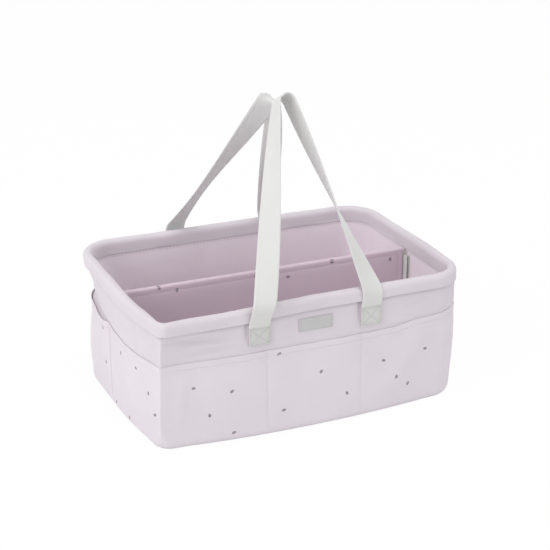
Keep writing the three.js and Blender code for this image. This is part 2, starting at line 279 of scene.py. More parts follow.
# small repeated shapes are made a few at a time, because an operator slows down as its mesh grows
def scatter(bm, addShape, places, batch=40):
    for first in range(0, len(places), batch):
        some = bmesh.new()
        for place in places[first:first + batch]:
            addShape(some, place)
        part = bpy.data.meshes.new("part")
        some.to_mesh(part)
        some.free()
        bm.from_mesh(part)
        bpy.data.meshes.remove(part)


def addGrain(bm, place):
    bmesh.ops.create_uvsphere(bm, u_segments=6, v_segments=4, radius=1, matrix=place)


# stitches are small grains of thread along a line on a surface
def addStitches(bm, surface, start, end, size, count=None):
    reach = (surface(*end) - surface(*start)).length if count is None else 0
    count = count or max(1, round(reach / size["pitch"]))
    step = 0.2 * mm  # how far off the surface's slopes are felt
    places = []
    for k in range(count):
        share = (k + 0.5) / count
        a = start[0] + (end[0] - start[0]) * share
        b = start[1] + (end[1] - start[1]) * share
        spot = surface(a, b)
        acrossWay = (surface(a + step, b) - spot).normalized()
        upWay = (surface(a, b + step) - spot).normalized()
        out = acrossWay.cross(upWay).normalized()
        heading = (acrossWay * (end[0] - start[0]) + upWay * (end[1] - start[1])).normalized()
        side = out.cross(heading)
        turned = Matrix((side, out, heading)).transposed().to_4x4()
        sized = Matrix.Diagonal((size["width"] / 2, size["width"] / 2, size["length"] / 2, 1))
        places.append(Matrix.Translation(spot + out * size["lift"]) @ turned @ sized)
    scatter(bm, addGrain, places)


# lines of stitches as one piece: each line's surface, start and end, and a count where the line bends
def addSeams(name, lines, size, material, body):
    bm = bmesh.new()
    for surface, start, end, *count in lines:
        addStitches(bm, surface, start, end, size, *count)
    addPiece(name, bm, material, body)


# lines between the corners of a box, which are numbered round from 0 at the lower left
def seamLines(surface, left, right, bottom, top, pairs):
    corners = [(left, bottom), (right, bottom), (right, top), (left, top)]
    return [(surface, corners[start], corners[end]) for start, end in pairs]


# materials
def paint(red, green, blue):  # 0 to 255 as on a screen, to the values that shaders take
    shares = [value / 255 for value in (red, green, blue)]
    return [s / 12.92 if s <= 0.04045 else ((s + 0.055) / 1.055) ** 2.4 for s in shares] + [1.0]


def addNode(tree, kind, inputs=None, **settings):
    made = tree.nodes.new(kind)
    for key, value in settings.items():
        setattr(made, key, value)
    for key, value in (inputs or {}).items():
        if isinstance(value, bpy.types.NodeSocket):
            tree.links.new(value, made.inputs[key])
        else:
            made.inputs[key].default_value = value
    return made


def combine(tree, operation, *values):
    return addNode(tree, "ShaderNodeMath", dict(enumerate(values)), operation=operation).outputs[0]


def combineVectors(tree, operation, first, second):  # a dot product is a value, the rest are vectors
    outputs = addNode(tree, "ShaderNodeVectorMath", {0: first, 1: second}, operation=operation).outputs
    return outputs["Value" if operation == "DOT_PRODUCT" else "Vector"]


def weighted(tree, total, *parts):  # a start, and (socket, weight) pairs added to it
    for socket, weight in parts:
        total = combine(tree, "MULTIPLY_ADD", socket, weight, total)
    return total


def twoTone(tree, factor, dark, light):
    tones = addNode(tree, "ShaderNodeValToRGB", {"Fac": factor})
    tones.color_ramp.elements[0].color = dark
    tones.color_ramp.elements[1].color = light
    return tones.outputs["Color"]


def printOver(tree, mask, ground, ink):  # a colour mix has its share at socket 0 and its colours at 6 and 7
    return addNode(tree, "ShaderNodeMix", {0: mask, 6: ground, 7: ink}, data_type="RGBA").outputs[2]


waveTurn = 2 * math.pi / 20  # one band of a Wave texture at scale 1


def yarnBands(tree, uv, direction, pitch, unevenness):
    bands = addNode(
        tree, "ShaderNodeTexWave",
        {"Vector": uv, "Scale": waveTurn / pitch, "Distortion": unevenness,
         "Detail": 2.0, "Detail Scale": 0.6},
        wave_type="BANDS", bands_direction=direction, wave_profile="SIN",
    )
    return bands.outputs["Fac"]


def blotches(tree, perMetre, detail):
    place = addNode(tree, "ShaderNodeTexCoord").outputs["Object"]
    blotch = addNode(tree, "ShaderNodeTexNoise", {"Vector": place, "Scale": perMetre, "Detail": detail})
    return blotch.outputs["Fac"]


# sparse print of small oval specks, one to a cell, each turned its own way
def speckMask(tree, uv, speck):
    cells = addNode(
        tree, "ShaderNodeTexVoronoi",
        {"Vector": uv, "Scale": 1 / speck["spacing"], "Randomness": speck["scatter"]},
        voronoi_dimensions="2D", feature="F1",
    )
    away = combineVectors(tree, "SUBTRACT", uv, cells.outputs["Position"])
    tints = addNode(tree, "ShaderNodeSeparateColor", {"Color": cells.outputs["Color"]})
    turn = combine(tree, "MULTIPLY", tints.outputs["Red"], math.pi)
    turned = addNode(tree, "ShaderNodeVectorRotate", {"Vector": away, "Angle": turn}, rotation_type="Z_AXIS")
    perRadius = (2 / speck["width"], 2 / speck["length"], 0)
    radii = combineVectors(tree, "MULTIPLY", turned.outputs[0], perRadius)
    reach = combineVectors(tree, "DOT_PRODUCT", radii, radii)
    faint, full = speck["edge"]
    edge = addNode(
        tree, "ShaderNodeMapRange",
        {"Value": reach, "From Min": faint, "From Max": full, "To Min": 0.0, "To Max": 1.0},
    )
    return edge.outputs[0]


def startMaterial(name, finish):
    material = bpy.data.materials.new(name)
    material.use_nodes = True
    shader = material.node_tree.nodes["Principled BSDF"]
    shader.inputs["Roughness"].default_value = finish["roughness"]
    shader.inputs["Specular IOR Level"].default_value = finish["gloss"]
    shader.inputs["Sheen Weight"].default_value = finish["sheen"]
    shader.inputs["Sheen Roughness"].default_value = 0.5
    return material, material.node_tree, shader


def addRelief(tree, shader, relief, strength, distance):
    raised = addNode(tree, "ShaderNodeBump", {"Height": relief, "Strength": strength, "Distance": distance})
    tree.links.new(raised.outputs[0], shader.inputs["Normal"])


# clouds and fibres to a metre of cloth, and what clouds, fibres and weave add to its tone
clothTone = {"clouds": 16, "fibres": 1400, "shares": (0.5, 0.3, 0.3)}


def clothMaterial(name, finish):
    material, tree, shader = startMaterial(name, finish)
    uv = addNode(tree, "ShaderNodeUVMap", uv_map="weave").outputs["UV"]
    warp = yarnBands(tree, uv, "X", finish["pitch"], finish["unevenness"])
    weft = yarnBands(tree, uv, "Y", finish["pitch"] * finish["weftShare"], finish["unevenness"])
    weave = combine(tree, "MULTIPLY", warp, weft)
    cloud = blotches(tree, clothTone["clouds"], 3.0)
    fibre = blotches(tree, clothTone["fibres"], 2.0)
    tone = weighted(tree, 0.0, *zip((cloud, fibre, weave), clothTone["shares"]))
    colour = twoTone(tree, tone, finish["dark"], finish["light"])
    if "speck" in finish:
        speck = finish["speck"]
        cover = weighted(tree, speck["cover"], (fibre, speck["coverFibre"]))
        mask = combine(tree, "MULTIPLY", speckMask(tree, uv, speck), cover)
        colour = printOver(tree, mask, colour, speck["ink"])
    tree.links.new(colour, shader.inputs["Base Color"])
    relief = weighted(tree, weave, (fibre, finish["fuzz"]))
    addRelief(tree, shader, relief, finish["bump"], finish["pitch"] / 3)
    return material


def plainMaterial(name, finish):  # for thread, tape pile and board, on the object's own coordinates
    material, tree, shader = startMaterial(name, finish)
    grain = blotches(tree, finish["grain"], 4.0)
    tree.links.new(twoTone(tree, grain, finish["dark"], finish["light"]), shader.inputs["Base Color"])
    addRelief(tree, shader, grain, finish["bump"], finish["depth"])
    return material


# the plain canvas is a few levels darker than the printed pocket cloth: painted shade on the upper wall and
# rim
canvasFinish = {
    "dark": paint(208, 199, 207), "light": paint(230, 223, 229), "pitch": 0.62 * mm, "weftShare": 1.1,
    "unevenness": 1.2, "fuzz": 0.6, "bump": 0.35, "roughness": 0.88, "gloss": 0.2, "sheen": 0.12,
}
printFinish = {
    **canvasFinish, "dark": paint(213, 205, 212), "light": paint(235, 228, 234),
    "speck": {
        "spacing": 57 * mm, "scatter": 0.8, "width": 3.6 * mm, "length": 5.3 * mm, "edge": (1.2, 0.75),
        "ink": paint(132, 126, 133), "cover": 0.6, "coverFibre": 0.5,
    },
}
# the lining's pale lavender is raised lighter, as painted light in the shaded inside of the basket
liningFinish = {
    **canvasFinish, "dark": paint(230, 218, 227), "light": paint(246, 238, 244),
    "pitch": 0.42 * mm, "bump": 0.25,
}
# the cover's own darker purple, lifted a little lighter as painted light on its shaded faces
dividerFinish = {**printFinish, "dark": paint(204, 186, 198), "light": paint(224, 208, 218)}
webbingFinish = {
    **canvasFinish, "dark": paint(206, 206, 205), "light": paint(222, 222, 220), "pitch": 1.1 * mm,
    "weftShare": 0.45, "unevenness": 0.4, "fuzz": 0.0, "bump": 0.02,
    "roughness": 0.8, "gloss": 0.15, "sheen": 0.6,
}
# the sewn ends are the same webbing, made a darker grey as painted shade
patchFinish = {**webbingFinish, "dark": paint(198, 198, 197), "light": paint(218, 218, 216), "bump": 0.4}
labelFinish = {
    **canvasFinish, "dark": paint(188, 187, 188), "light": paint(206, 205, 206), "pitch": 0.8 * mm,
    "weftShare": 0.4, "unevenness": 0.3, "roughness": 0.65, "gloss": 0.35,
}
# the darker purple thread: partly its own colour, partly painted shade in the stitch holes
threadFinish = {
    "dark": paint(168, 152, 164), "light": paint(196, 182, 193),
    "grain": 2200, "bump": 0.4, "depth": 0.1 * mm, "roughness": 0.7, "gloss": 0.3, "sheen": 0.1,
}
paleThreadFinish = {**threadFinish, "dark": paint(202, 191, 200), "light": paint(222, 213, 220)}
greyThreadFinish = {**threadFinish, "dark": paint(176, 177, 176), "light": paint(204, 205, 204)}
tapeFinish = {
    "dark": paint(196, 195, 194), "light": paint(224, 223, 221),
    "grain": 1700, "bump": 0.9, "depth": 0.5 * mm, "roughness": 0.9, "gloss": 0.15, "sheen": 0.25,
}
boardFinish = {
    "dark": paint(176, 168, 154), "light": paint(202, 194, 180),
    "grain": 240, "bump": 0.2, "depth": 0.2 * mm, "roughness": 0.8, "gloss": 0.25, "sheen": 0.0,
}

canvas = clothMaterial("canvas", canvasFinish)
printedCanvas = clothMaterial("printedCanvas", printFinish)
dividerPrint = clothMaterial("dividerPrint", dividerFinish)
lining = clothMaterial("lining", liningFinish)
webbing = clothMaterial("webbing", webbingFinish)
patchWebbing = clothMaterial("patchWebbing", patchFinish)
labelCloth = clothMaterial("labelCloth", labelFinish)
thread = plainMaterial("thread", threadFinish)
paleThread = plainMaterial("paleThread", paleThreadFinish)
greyThread = plainMaterial("greyThread", greyThreadFinish)
tapePile = plainMaterial("tapePile", tapeFinish)
board = plainMaterial("board", boardFinish)


def dressBoard(name):  # a stiff board shows its own solid
    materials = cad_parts[name].data.materials
    materials.clear()
    materials.append(board)


print("materials made")

# the pocket band: four panels that meet at the corners, each with a folded hem and open compartments
wallLow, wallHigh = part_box("outer_wall")
upperInset = rimHigh.x - wallHigh.x
lowerInset = rimHigh.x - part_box("outer_base")[1].x
layerGap = 0.3 * mm  # between layers that are sewn together
seamRidge = {"height": 1.0 * mm, "width": 5 * mm}  # the cloth stands up a little along each corner seam
pocket = {
    "top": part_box("front_pocket")[1].z, "cloth": 0.7 * mm, "stand": 1.3 * mm, "step": 2.2 * mm, "rows": 64,
    "edgeRadius": 8 * mm, "wrap": math.radians(65), "wrapThin": 0.42, "underWrap": 9 * mm,
    "hem": 8.5 * mm, "hemStand": 0.5 * mm, "hemStep": (-2.5 * mm, 1.5 * mm), "fold": 0.4 * mm,
    "hemLine": 7.4 * mm, "linePress": (0.9 * mm, 0.5 * mm), "puckerUp": 2 * mm, "puckerReach": 5 * mm,
    "hemWave": 1.1 * mm, "wavesPerMetre": 42, "riseRun": 125 * mm,
    "slackFrom": 18 * mm, "open": 3.2 * mm, "ajar": 2.4 * mm, "resting": 0.6 * mm,
    "seam": 57 * mm, "endSeam": 11 * mm, "seamWidth": 1.5 * mm,
    "ridgeRise": (2 * mm, 16 * mm), "looseRise": (8 * mm, 40 * mm),
    "billow": (0.8 * mm, 24, 10, 3.1), "slant": (1.8 * mm, 17, 7, 11.6), "slope": 0.6,
    "ruck": (0.6 * mm, 20, 95, 8.8), "ruckReach": 5 * mm, "ruckRise": (6 * mm, 20 * mm),
    "pucker": (0.5 * mm, 110, 40, 7.7),
    "seamCrowd": (4 * mm, 4), "edgeCrowd": (8 * mm, 3),  # where the columns of the grid come closer
}
longPanel = {
    "reach": cornerRun, "seams": [-pocket["seam"], pocket["seam"]], "seamDepth": 0.2 * mm, "seamSewn": True,
}
endPanel = {"reach": endRun - cornerRun, "seamDepth": 3.6 * mm, "seamSewn": False}
panels = {
    "front": {
        **longPanel, "middle": 0, "rises": (1.5 * mm, 9 * mm),
        "slacks": [pocket["resting"]] * 3, "sags": [0.5 * mm] * 3,
    },
    "right": {
        **endPanel, "middle": endRun, "rises": (9 * mm, 1 * mm), "seams": [pocket["endSeam"]],
        "slacks": [pocket["ajar"], pocket["open"]], "sags": [1.6 * mm, 2.2 * mm],
    },
    "back": {
        **longPanel, "middle": 2 * endRun, "rises": (1 * mm, 3 * mm),
        "slacks": [pocket["resting"], pocket["ajar"], pocket["resting"]],
        "sags": [0.5 * mm, 1.6 * mm, 0.5 * mm],
    },
    "left": {
        **endPanel, "middle": 3 * endRun, "rises": (3 * mm, 1.5 * mm), "seams": [-pocket["endSeam"]],
        "slacks": [pocket["open"], pocket["resting"]], "sags": [4.0 * mm, 5.0 * mm],
    },
}


def creaseLine(start, end, depth, width):  # from and to a (run, height), all in millimetres
    return {
        "from": (start[0] * mm, start[1] * mm), "to": (end[0] * mm, end[1] * mm),
        "depth": depth * mm, "width": width * mm,
    }


# broad ridges of the loose pocket cloth: from, to, how high and how wide
pocketFolds = [
    creaseLine((-160, 92), (-166, 24), 1.8, 9),
    creaseLine((-128, 84), (-96, 30), 1.4, 15),
    creaseLine((140, 96), (88, 22), 2.0, 15),
    creaseLine((10, 88), (30, 34), 1.2, 16),
    creaseLine((945, 84), (1000, 30), 1.4, 14),
    creaseLine((286, 86), (262, 28), 1.4, 14),
    creaseLine((500, 86), (540, 26), 1.6, 15),
    creaseLine((690, 88), (720, 30), 1.4, 15),
]
creaseEnds = 0.4  # share of its depth that a crease keeps at its ends


def creaseDepth(crease, run, z):
    fromRun, fromZ = crease["from"]
    toRun, toZ = crease["to"]
    along = fromMiddle(run, fromRun)
    length = math.hypot(toRun - fromRun, toZ - fromZ)
    if abs(along - (toRun - fromRun) / 2) > length / 2 + 3 * crease["width"]:  # too far off to matter
        return 0.0
    share = (along * (toRun - fromRun) + (z - fromZ) * (toZ - fromZ)) / length ** 2
    held = min(max(share, 0.0), 1.0)
    away = math.hypot(along - held * (toRun - fromRun), z - fromZ - held * (toZ - fromZ))
    depth = crease["depth"] * (creaseEnds + (1 - creaseEnds) * math.sin(math.pi * held))
    return hill(away, crease["width"], depth)


# place in its compartment from -1 to 1, and that compartment's slack and sag
def compartmentAt(panel, along):
    edges = [-panel["reach"], *panel["seams"], panel["reach"]]
    for fromEdge, toEdge, slack, sag in zip(edges, edges[1:], panel["slacks"], panel["sags"]):
        if along <= toEdge or toEdge == edges[-1]:
            share = (2 * along - fromEdge - toEdge) / (toEdge - fromEdge)
            return max(-1.0, min(1.0, share)), slack, sag


def hemHeight(panel, along):
    share, _, sag = compartmentAt(panel, along)
    start = panel["reach"] - pocket["riseRun"]
    before, after = panel["rises"]
    lifted = before * ease(start, panel["reach"], -along) + after * ease(start, panel["reach"], along)
    # each panel reads its own stretch of the noise
    swing = noise.noise(Vector((along * pocket["wavesPerMetre"], panel["middle"] * 10, 2.7)))
    wave = pocket["hemWave"] * swing * (1 - share ** 4)
    return pocket["top"] + lifted + wave - sag * (1 - share * share)


def toEndSeam(run):  # distance to the nearer upright seam of the two ends
    leftSeam = 3 * endRun - pocket["endSeam"]
    return min(abs(fromMiddle(run, endRun + pocket["endSeam"])), abs(fromMiddle(run, leftSeam)))


def panelAt(run):
    for panel in panels.values():
        along = fromMiddle(run, panel["middle"])
        if abs(along) <= panel["reach"] + weld:
            return panel, along


def ridge(run):
    return seamRidge["height"] * math.exp(-toCorner(run) / seamRidge["width"])


def pocketFace(panel, along, z):  # inset of the outer face
    run = panel["middle"] + along
    share, slack, _ = compartmentAt(panel, along)
    top = hemHeight(panel, along)
    spot = onBasket(run, 0, z)
    opened = ease(pocket["slackFrom"], pocket["top"], z)
    inset = lowerInset - pocket["stand"] - slack * (1 - abs(share) ** 4) * math.sqrt(opened)
    inset -= ridge(run) * ease(*pocket["ridgeRise"], z)
    stepLow, stepHigh = pocket["hemStep"]
    inset -= pocket["hemStand"] * ease(stepLow, stepHigh, z - top + pocket["hem"])
    loose = (1 - abs(share) ** 3) * ease(*pocket["looseRise"], z)
    aslant = slanted(spot, pocket["slope"])
    inset -= loose * (dents(spot, *pocket["billow"]) + lumps(aslant, *pocket["slant"]))
    inset -= loose * sum(creaseDepth(fold, run, z) for fold in pocketFolds)
    besideCorner = hill(toCorner(run) - pocket["ruckReach"], pocket["ruckReach"])
    inset -= besideCorner * lumps(spot, *pocket["ruck"]) * ease(*pocket["ruckRise"], z)
    nearSeam = min(abs(along - seam) for seam in panel["seams"])
    inset += hill(nearSeam, pocket["seamWidth"], panel["seamDepth"])
    above = z - (top - pocket["hemLine"])
    inset += hill(above, *pocket["linePress"])
    return inset - hill(above + pocket["puckerUp"], pocket["puckerReach"]) * lumps(spot, *pocket["pucker"])


def onPocket(panel, along, z):
    return onBasket(panel["middle"] + along, pocketFace(panel, along, z), z)


# level -1 to 0 wraps the base edge, 0 to 1 rises, 1 to 2 folds over, and 2 to 3 hangs inside
def pocketSpot(panel, along, level):
    run = panel["middle"] + along
    fold, edge = pocket["fold"], pocket["edgeRadius"]
    top = hemHeight(panel, along) - fold
    if level <= 0:
        angle = -level * pocket["wrap"]
        radius = edge + pocket["stand"] * (1 + pocket["wrapThin"] * level)
        return onBasket(run, lowerInset + edge - radius * math.cos(angle), edge - radius * math.sin(angle))
    if level <= 1:
        return onPocket(panel, along, edge + (top - edge) * level)
    if level <= 2:
        angle = math.pi * (level - 1)
        inset = pocketFace(panel, along, top) + fold * (1 - math.cos(angle))
        return onBasket(run, inset, top + fold * math.sin(angle))
    z = top - pocket["hem"] * (level - 2)
    return onBasket(run, pocketFace(panel, along, z) + 2 * fold, z)


def addPocket(side):
    panel = panels[side]
    reach, top = panel["reach"], pocket["top"]
    columns = round(2 * reach / pocket["step"])
    rowLevels = [(0, -1), (0.09, 0), (0.6, 0.88), (0.82, 1), (0.9, 2), (1, 3)]
    weaveHeights = [(-1, -7 * mm), (0, 0), (1, top), (2, top + 3 * mm), (3, top + 11 * mm)]

    def crowd(place):
        nearSeam = min(abs(place - reach - seam) for seam in panel["seams"])
        return hill(nearSeam, *pocket["seamCrowd"]) + hill(reach - abs(place - reach), *pocket["edgeCrowd"])

    alongs = [place - reach for place in gathered(2 * reach, columns, crowd)]

    def place(u, v):
        return pocketSpot(panel, alongs[round(u * columns)], ramp(v, rowLevels))

    def weave(u, v):
        return panel["middle"] + alongs[round(u * columns)], ramp(ramp(v, rowLevels), weaveHeights)

    bm = clothGrid(columns, pocket["rows"], place, weave)
    piece = addPiece(side + "Pocket", bm, printedCanvas, "basket")
    thicken(piece, pocket["cloth"])
    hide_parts(side + "_pocket")


for side in panels:
    addPocket(side)
print("pockets made")

# heights of the rim's stitch lines, and how far the pockets' lines stop from an edge and from the floor
sewing = {"rimOutside": 141.2 * mm, "rimInside": (138.9 * mm, 136.9 * mm), "stop": 2 * mm, "foot": 9 * mm}
# the top of the basket hangs lower round its front left corner, from a little above the pockets
hang = {"drop": 3.6 * mm, "above": 4 * mm, "front": (80 * mm, 190 * mm), "end": (60 * mm, 150 * mm)}


def rimDrop(run):
    away = fromMiddle(run, -cornerRun)
    faded = ease(*hang["front"], away) if away > 0 else ease(*hang["end"], -away)
    return hang["drop"] * (1 - faded)


def hung(run, z):
    return z - rimDrop(run) * ease(pocket["top"] + hang["above"], rimLow.z, z)


# the padded wall: drawn in behind the pockets, proud above them and tucked under the rim
wall = {
    "padding": 3.4 * mm, "top": 146.2 * mm, "columns": 640, "rows": 64,
    "held": 2 * mm, "behind": 0.2 * mm, "slot": 2.5 * mm, "slotGape": 1.7,  # against the pockets' inside
    "swell": (-0.6 * mm, 6 * mm), "swellGape": (0.4, 4), "bulge": 1.1 * mm,  # out over the hem
    "groove": (2.2 * mm, 0.8 * mm), "tuckInset": 4.6 * mm, "tuck": (141.8 * mm, 143.2 * mm),
    "endSeam": (2.4 * mm, 0.7 * mm), "seamRise": (-2 * mm, 3 * mm), "sewnFlat": (1 * mm, 26 * mm),
    "patchGap": (2.2 * mm, 2.2 * mm), "gapOut": 1.2 * mm, "gapBelow": 4 * mm,
    "ridgeRise": (10 * mm, 20 * mm), "ridgeFade": (126 * mm, 138 * mm),
    "dents": (1.0 * mm, 17, 26, 1.3), "dentRise": 8 * mm,
    "slant": (0.7 * mm, 30, 9, 13.7), "slope": -0.8, "slantRise": (3 * mm, 12 * mm),
    "pucker": (0.25 * mm, 120, 30, 5.5), "puckerZ": 136 * mm, "puckerReach": 5 * mm,
    "cornerCrowd": (9 * mm, 4), "seamCrowd": (5 * mm, 3),
}
# soft creases of the upper wall: from, to, how deep and how wide
wallCreases = [
    creaseLine((-178, 135), (-98, 127), 4.2, 5.5),
    creaseLine((-158, 113), (-96, 112), 2.2, 4.5),
    creaseLine((-48, 112), (38, 111), 1.1, 4),
    creaseLine((92, 124), (150, 131), 1.0, 6),
    creaseLine((270, 122), (345, 118), 1.2, 5),
    creaseLine((575, 116), (655, 119), 1.2, 5),
    creaseLine((735, 127), (775, 118), 1.0, 5),
    creaseLine((865, 114), (905, 120), 1.2, 5),
    creaseLine((940, 121), (1000, 114), 1.2, 5),
    creaseLine((796, 124), (856, 119), 3.5, 14),
]
handleEnds = ("front_left", "front_right", "back_left", "back_right")
endBoxes = [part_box(name + "_handle_end") for name in handleEnds]
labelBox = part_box("front_label")


def sewnFlat(spot):  # 1 where something is sewn on the wall, so that it lies flat there
    flatness = 0.0
    for low, high in [*endBoxes, labelBox]:
        if low.y * spot.y < 0:
            continue
        sideways = max(low.x - spot.x, spot.x - high.x, 0)
        upright = max(low.z - spot.z, spot.z - high.z, 0)
        flatness = max(flatness, 1 - ease(*wall["sewnFlat"], math.hypot(sideways, upright)))
    return flatness


def besidePatch(spot):  # how far the wall is drawn back along the left edge of a handle's sewn end
    gap = 0.0
    for low, high in endBoxes:
        if low.y * spot.y > 0:
            beside = hill(spot.x - low.x + wall["gapOut"], *wall["patchGap"])
            gap = max(gap, beside * ease(low.z - wall["gapBelow"], high.z, spot.z))
    return gap


def wallFace(run, z):  # inset of the outer face
    panel, along = panelAt(run)
    edge = hemHeight(panel, along)
    above = z - edge
    spot = onBasket(run, 0, z)
    free = 1 - sewnFlat(spot)
    share, slack, _ = compartmentAt(panel, along)
    gape = max(slack - pocket["resting"], 0) * (1 - abs(share) ** 3)
    inset = pocketFace(panel, along, min(z, edge - wall["held"])) + 2 * pocket["fold"] + wall["behind"]
    inset += wall["slotGape"] * gape * ease(-wall["slot"], 0, above)
    swellFrom, swellTo = (bound + pull * gape for bound, pull in zip(wall["swell"], wall["swellGape"]))
    inset += (upperInset - wall["bulge"] * free - inset) * ease(swellFrom, swellTo, above)
    inset += hill(z - sewing["rimOutside"], *wall["groove"])
    inset += free * dents(spot, *wall["dents"]) * ease(0, wall["dentRise"], above)
    inset += free * sum(creaseDepth(crease, run, z) for crease in wallCreases)
    inset += hill(toEndSeam(run), *wall["endSeam"]) * ease(*wall["seamRise"], above)
    inset += besidePatch(spot)
    inset += free * lumps(spot, *wall["pucker"]) * hill(z - wall["puckerZ"], wall["puckerReach"])
    inset -= ridge(run) * (1 - ease(*wall["ridgeFade"], z)) * ease(*wall["ridgeRise"], z)
    inset += free * lumps(slanted(spot, wall["slope"]), *wall["slant"]) * ease(*wall["slantRise"], above)
    return inset + (wall["tuckInset"] - inset) * ease(*wall["tuck"], z)


def onWall(run, z):
    return onBasket(run, wallFace(run, z), hung(run, z))


def addWall():
    def height(run, v):  # more rows where the wall swells out over the pockets' hem
        edge = hemHeight(*panelAt(run))
        rowHeights = [
            (0, wallLow.z), (0.22, edge - 6 * mm), (0.5, edge + 9 * mm), (0.84, 138 * mm), (1, wall["top"])
        ]
        return ramp(v, rowHeights)

    def crowd(run):
        return hill(toCorner(run), *wall["cornerCrowd"]) + hill(toEndSeam(run), *wall["seamCrowd"])

    runs = gathered(ringLength, wall["columns"], crowd)

    def place(u, v):
        run = runs[round(u * wall["columns"])]
        return onWall(run, height(run, v))

    def weave(u, v):
        run = runs[round(u * wall["columns"])]
        return run, height(run, v)

    bm = clothGrid(wall["columns"], wall["rows"], place, weave)
    piece = addPiece("outerWall", bm, canvas, "basket")
    thicken(piece, wall["padding"])
    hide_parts("outer_wall", "front_wall_foam", "right_wall_foam", "back_wall_foam", "left_wall_foam")


addWall()
print("wall made")

# the rim: a soft padded band that closes over the top of the wall and the lining
rim = {
    "widest": 150 * mm, "top": rimHigh.z, "outer": 1.3 * mm, "width": 13.0 * mm, "columns": 560, "rows": 52,
    "foot": 142.3 * mm, "innerFootZ": 139.6 * mm, "outerFoot": 2.3 * mm, "innerFoot": 13.6 * mm,
    "footRise": 3 * mm, "fullness": 2.7, "topFullness": 2.35,
    "lip": 0.4 * mm, "lipDrop": 0.2 * mm, "channelTop": 146.8 * mm,
    "dents": (0.9 * mm, 23, 12, 2.2), "fineDents": (0.4 * mm, 62, 30, 9.4), "sunk": 0.3 * mm,
    "pucker": (0.45 * mm, 120, 20, 4.6), "puckerReach": 6 * mm,
    "waves": (0.9 * mm, 15, 1, 6.8), "ripples": (0.3 * mm, 55, 1, 3.7), "settled": 0.8 * mm,
}


def powered(value, exponent):
    return math.copysign(abs(value) ** exponent, value)


def rimSection(level):  # (inset, z) from 0 at the outer foot, over the top, to 1 at the inner foot
    half = rim["width"] / 2
    middle = rim["outer"] + half
    angle = math.pi * (2 * level - 0.5)
    across = math.cos(angle)
    up = math.sin(angle)
    if up >= 0:
        flatter = 2 / rim["topFullness"]
        z = rim["widest"] + (rim["top"] - rim["widest"]) * up ** flatter
        return middle - half * powered(across, flatter), z
    outside = level < 0.5
    footHalf = middle - rim["outerFoot"] if outside else rim["innerFoot"] - middle
    footZ = rim["foot"] if outside else rim["innerFootZ"]
    out = footHalf + (half - footHalf) * abs(across) ** (2 / rim["fullness"])
    z = rim["widest"] + (rim["widest"] - footZ) * powered(up, 2 / rim["fullness"])
    return (middle - out, z) if outside else (middle + out, z)


def rimSpot(run, level):  # 0 to 1 shows, beyond 1 is the channel that holds the wall
    if level <= 1:
        inset, z = rimSection(level)
        spot = onBasket(run, 0, z)
        facing = 1 - 2 * (inset - rim["outer"]) / rim["width"]  # 1 outside, 0 on top, -1 inside
        footZ = rim["foot"] if facing > 0 else rim["innerFootZ"]
        sunk = lumps(spot, *rim["dents"]) + lumps(spot, *rim["fineDents"]) + rim["sunk"]
        sunk += lumps(spot, *rim["pucker"]) * hill(z - footZ, rim["puckerReach"])
        inset += sunk * ease(footZ, footZ + rim["footRise"], z) * facing
        upShare = max(z - rim["widest"], 0) / (rim["top"] - rim["widest"])
        z += upShare * (lumps(spot, *rim["waves"]) + lumps(spot, *rim["ripples"]) - rim["settled"])
    else:
        turns = (1, 1.35, 1.65, 2)  # up on the inside, across, and down on the outside
        inner, outer = rim["innerFoot"] - rim["lip"], rim["outerFoot"] + rim["lip"]
        innerZ, outerZ = rim["innerFootZ"] - rim["lipDrop"], rim["foot"] - rim["lipDrop"]
        inset = ramp(level, list(zip(turns, (inner, inner, outer, outer))))
        z = ramp(level, list(zip(turns, (innerZ, rim["channelTop"], rim["channelTop"], outerZ))))
    return onBasket(run, inset, z) - Vector((0, 0, rimDrop(run)))


def addRim():
    rowLevels = [(0, 0), (0.8, 1), (0.82, 1.001), (1, 2)]
    weaveLengths = [(0, 0), (1, 52 * mm), (2, 70 * mm)]

    def place(u, v):
        return rimSpot(u * ringLength, ramp(v, rowLevels))

    def weave(u, v):
        return u * ringLength, ramp(ramp(v, rowLevels), weaveLengths)

    bm = clothGrid(rim["columns"], rim["rows"], place, weave)
    bmesh.ops.bridge_loops(bm, edges=[edge for edge in bm.edges if edge.is_boundary])
    bmesh.ops.recalc_face_normals(bm, faces=bm.faces)
    piece = addPiece("rimRoll", bm, canvas, "basket")
    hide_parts("rim_facing", "rim_foam")


addRim()
print("rim made")

# the lining: a wall sheet held by the rim, and a floor sheet over the base board
floorLow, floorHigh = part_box("lining_base")
tapeLow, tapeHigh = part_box("left_loop_tape")
liner = {
    "lowerInset": rimHigh.x + tapeLow.x - layerGap, "upperInset": 13.0 * mm, "flare": (104 * mm, 112 * mm),
    "cloth": 0.8 * mm, "top": 142.8 * mm, "bottomRadius": 5 * mm, "endLift": 0.2 * mm,
    "columns": 440, "rows": 56,
    "holdRound": (13 * mm, 26 * mm), "holdAbove": 5 * mm,
    "looseRise": (8 * mm, 40 * mm), "looseFade": (128 * mm, 140 * mm),
    "wrinkles": (0.9 * mm, 19, 7, 8.3), "fineWrinkles": (0.5 * mm, 45, 16, 2.9),
    "pucker": (0.2 * mm, 140, 30, 6.1), "puckerZ": 137 * mm, "puckerReach": 4 * mm,
    "floorGap": 1.5 * mm, "floorStep": 9 * mm, "floorDents": (0.25 * mm, 21, 1, 4.4), "floorRim": 30 * mm,
}


def tapeHold(run, z):  # the lining lies flat against the tape sewn to it at each end
    away = min(abs(fromMiddle(run, endRun)), abs(fromMiddle(run, 3 * endRun)))
    above = ease(tapeHigh.z, tapeHigh.z + liner["holdAbove"], z)
    return (1 - ease(*liner["holdRound"], away)) * (1 - above)


